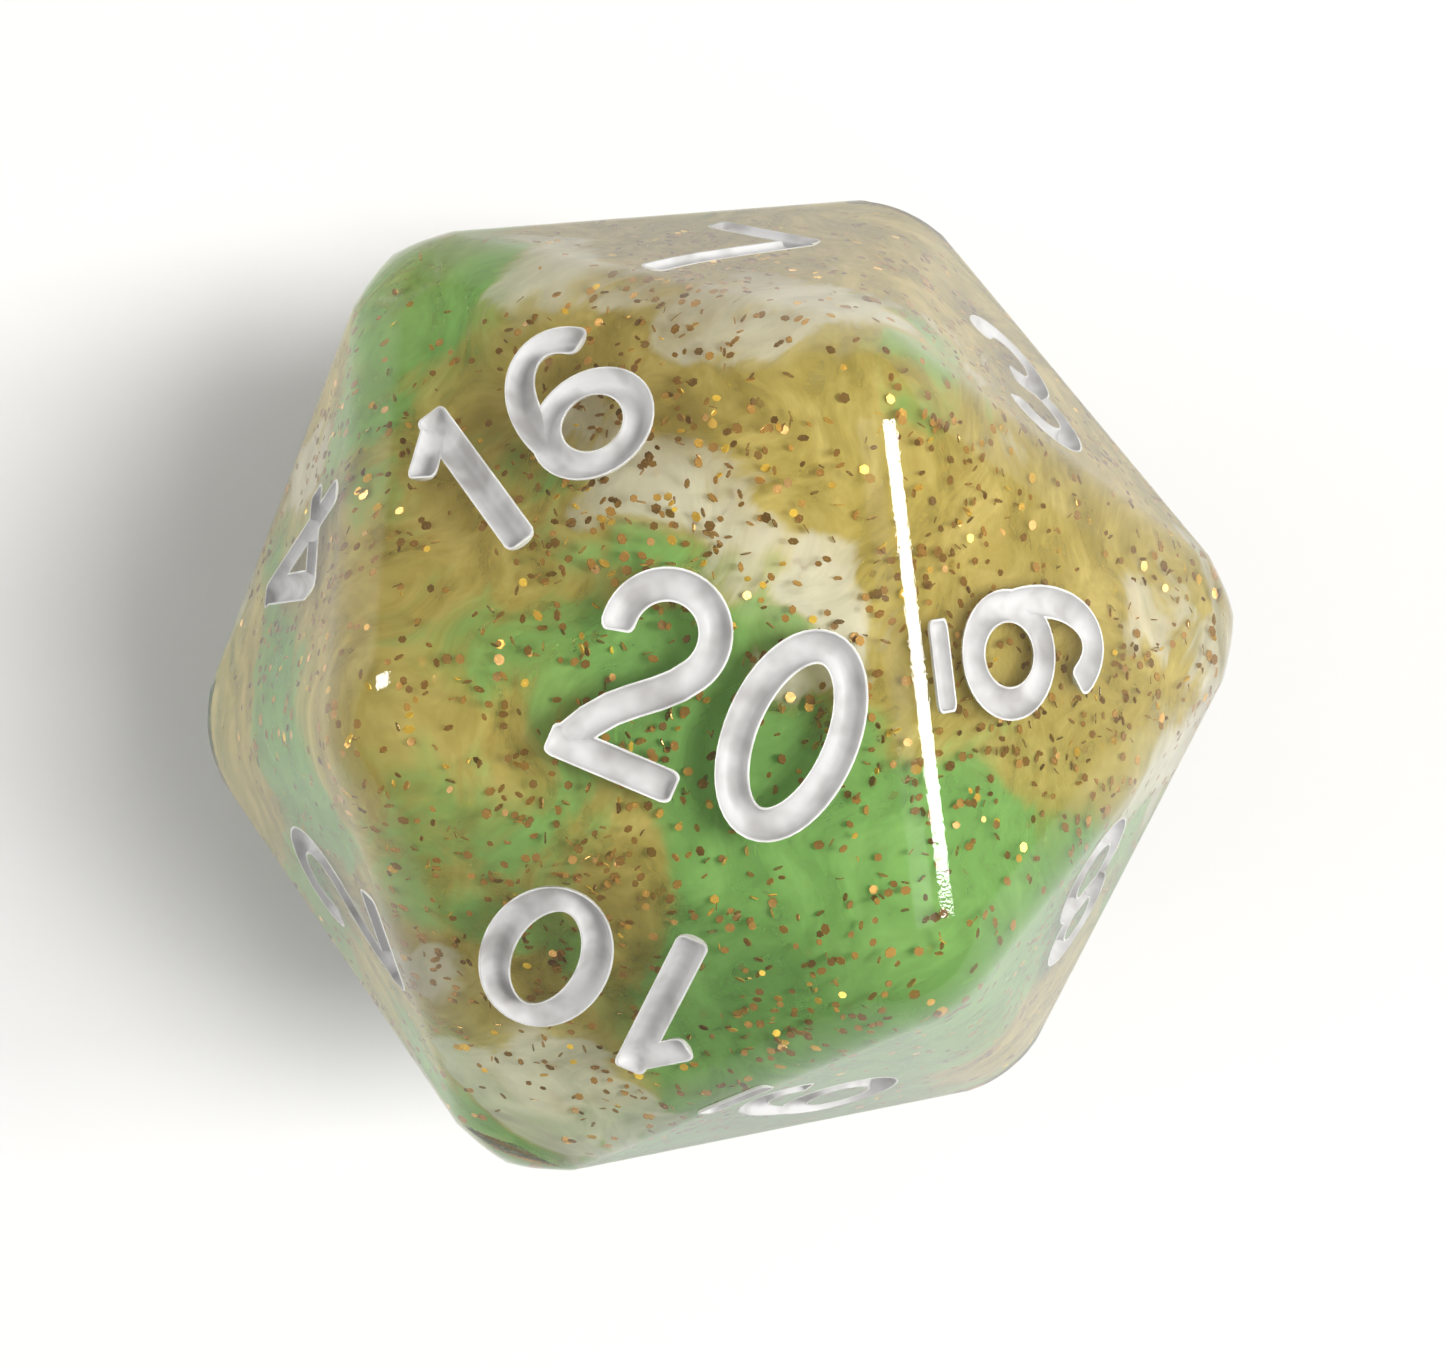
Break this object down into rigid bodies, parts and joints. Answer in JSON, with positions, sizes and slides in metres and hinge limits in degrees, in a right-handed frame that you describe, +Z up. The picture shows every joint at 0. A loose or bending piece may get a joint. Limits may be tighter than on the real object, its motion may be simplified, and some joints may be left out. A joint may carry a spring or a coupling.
{
  "type": "polyhedral die",
  "caption": "Icosahedral polyhedral die cast in swirled translucent resin, with tumbled round edges and engraved numerals filled with white paint",
  "frame": {"origin": "the middle of the underside, on the surface that the die rests on, under the middle of the die", "axes": "+Z up, out of face 20, which is on top while the die rests on face 1; +Y towards the corner that the top of the 20 points to, so the 20 reads upright from above with +Y away from the reader; +X to that reader's right"},
  "size_m": [0.021, 0.0234, 0.02],
  "materials": {
    "clear_resin": "clear, faintly milky cast resin with copper glitter, tumbled and polished to a gloss",
    "green_resin": "translucent green cast resin, tumbled and polished to a gloss",
    "amber_resin": "translucent olive-gold cast resin, tumbled and polished to a gloss",
    "numeral_paint": "white acrylic paint dried in the engraved numerals and wiped back from the faces"
  },
  "bodies": {
    "root": {"paint_1": "numeral_paint", "paint_10_tens": "numeral_paint", "paint_10_units": "numeral_paint", "paint_11_tens": "numeral_paint", "paint_11_units": "numeral_paint", "paint_12_tens": "numeral_paint", "paint_12_units": "numeral_paint", "paint_13_tens": "numeral_paint", "paint_13_units": "numeral_paint", "paint_14_tens": "numeral_paint", "paint_14_units": "numeral_paint", "paint_15_tens": "numeral_paint", "paint_15_units": "numeral_paint", "paint_16_tens": "numeral_paint", "paint_16_units": "numeral_paint", "paint_17_tens": "numeral_paint", "paint_17_units": "numeral_paint", "paint_18_tens": "numeral_paint", "paint_18_units": "numeral_paint", "paint_19_tens": "numeral_paint", "paint_19_units": "numeral_paint", "paint_2": "numeral_paint", "paint_20_tens": "numeral_paint", "paint_20_units": "numeral_paint", "paint_3": "numeral_paint", "paint_4": "numeral_paint", "paint_5": "numeral_paint", "paint_6": "numeral_paint", "paint_6_bar": "numeral_paint", "paint_7": "numeral_paint", "paint_8": "numeral_paint", "paint_9": "numeral_paint", "paint_9_bar": "numeral_paint", "resin_amber_pour": "amber_resin", "resin_clear_pour": "clear_resin", "resin_green_pour": "green_resin"}
  },
  "joints": []
}
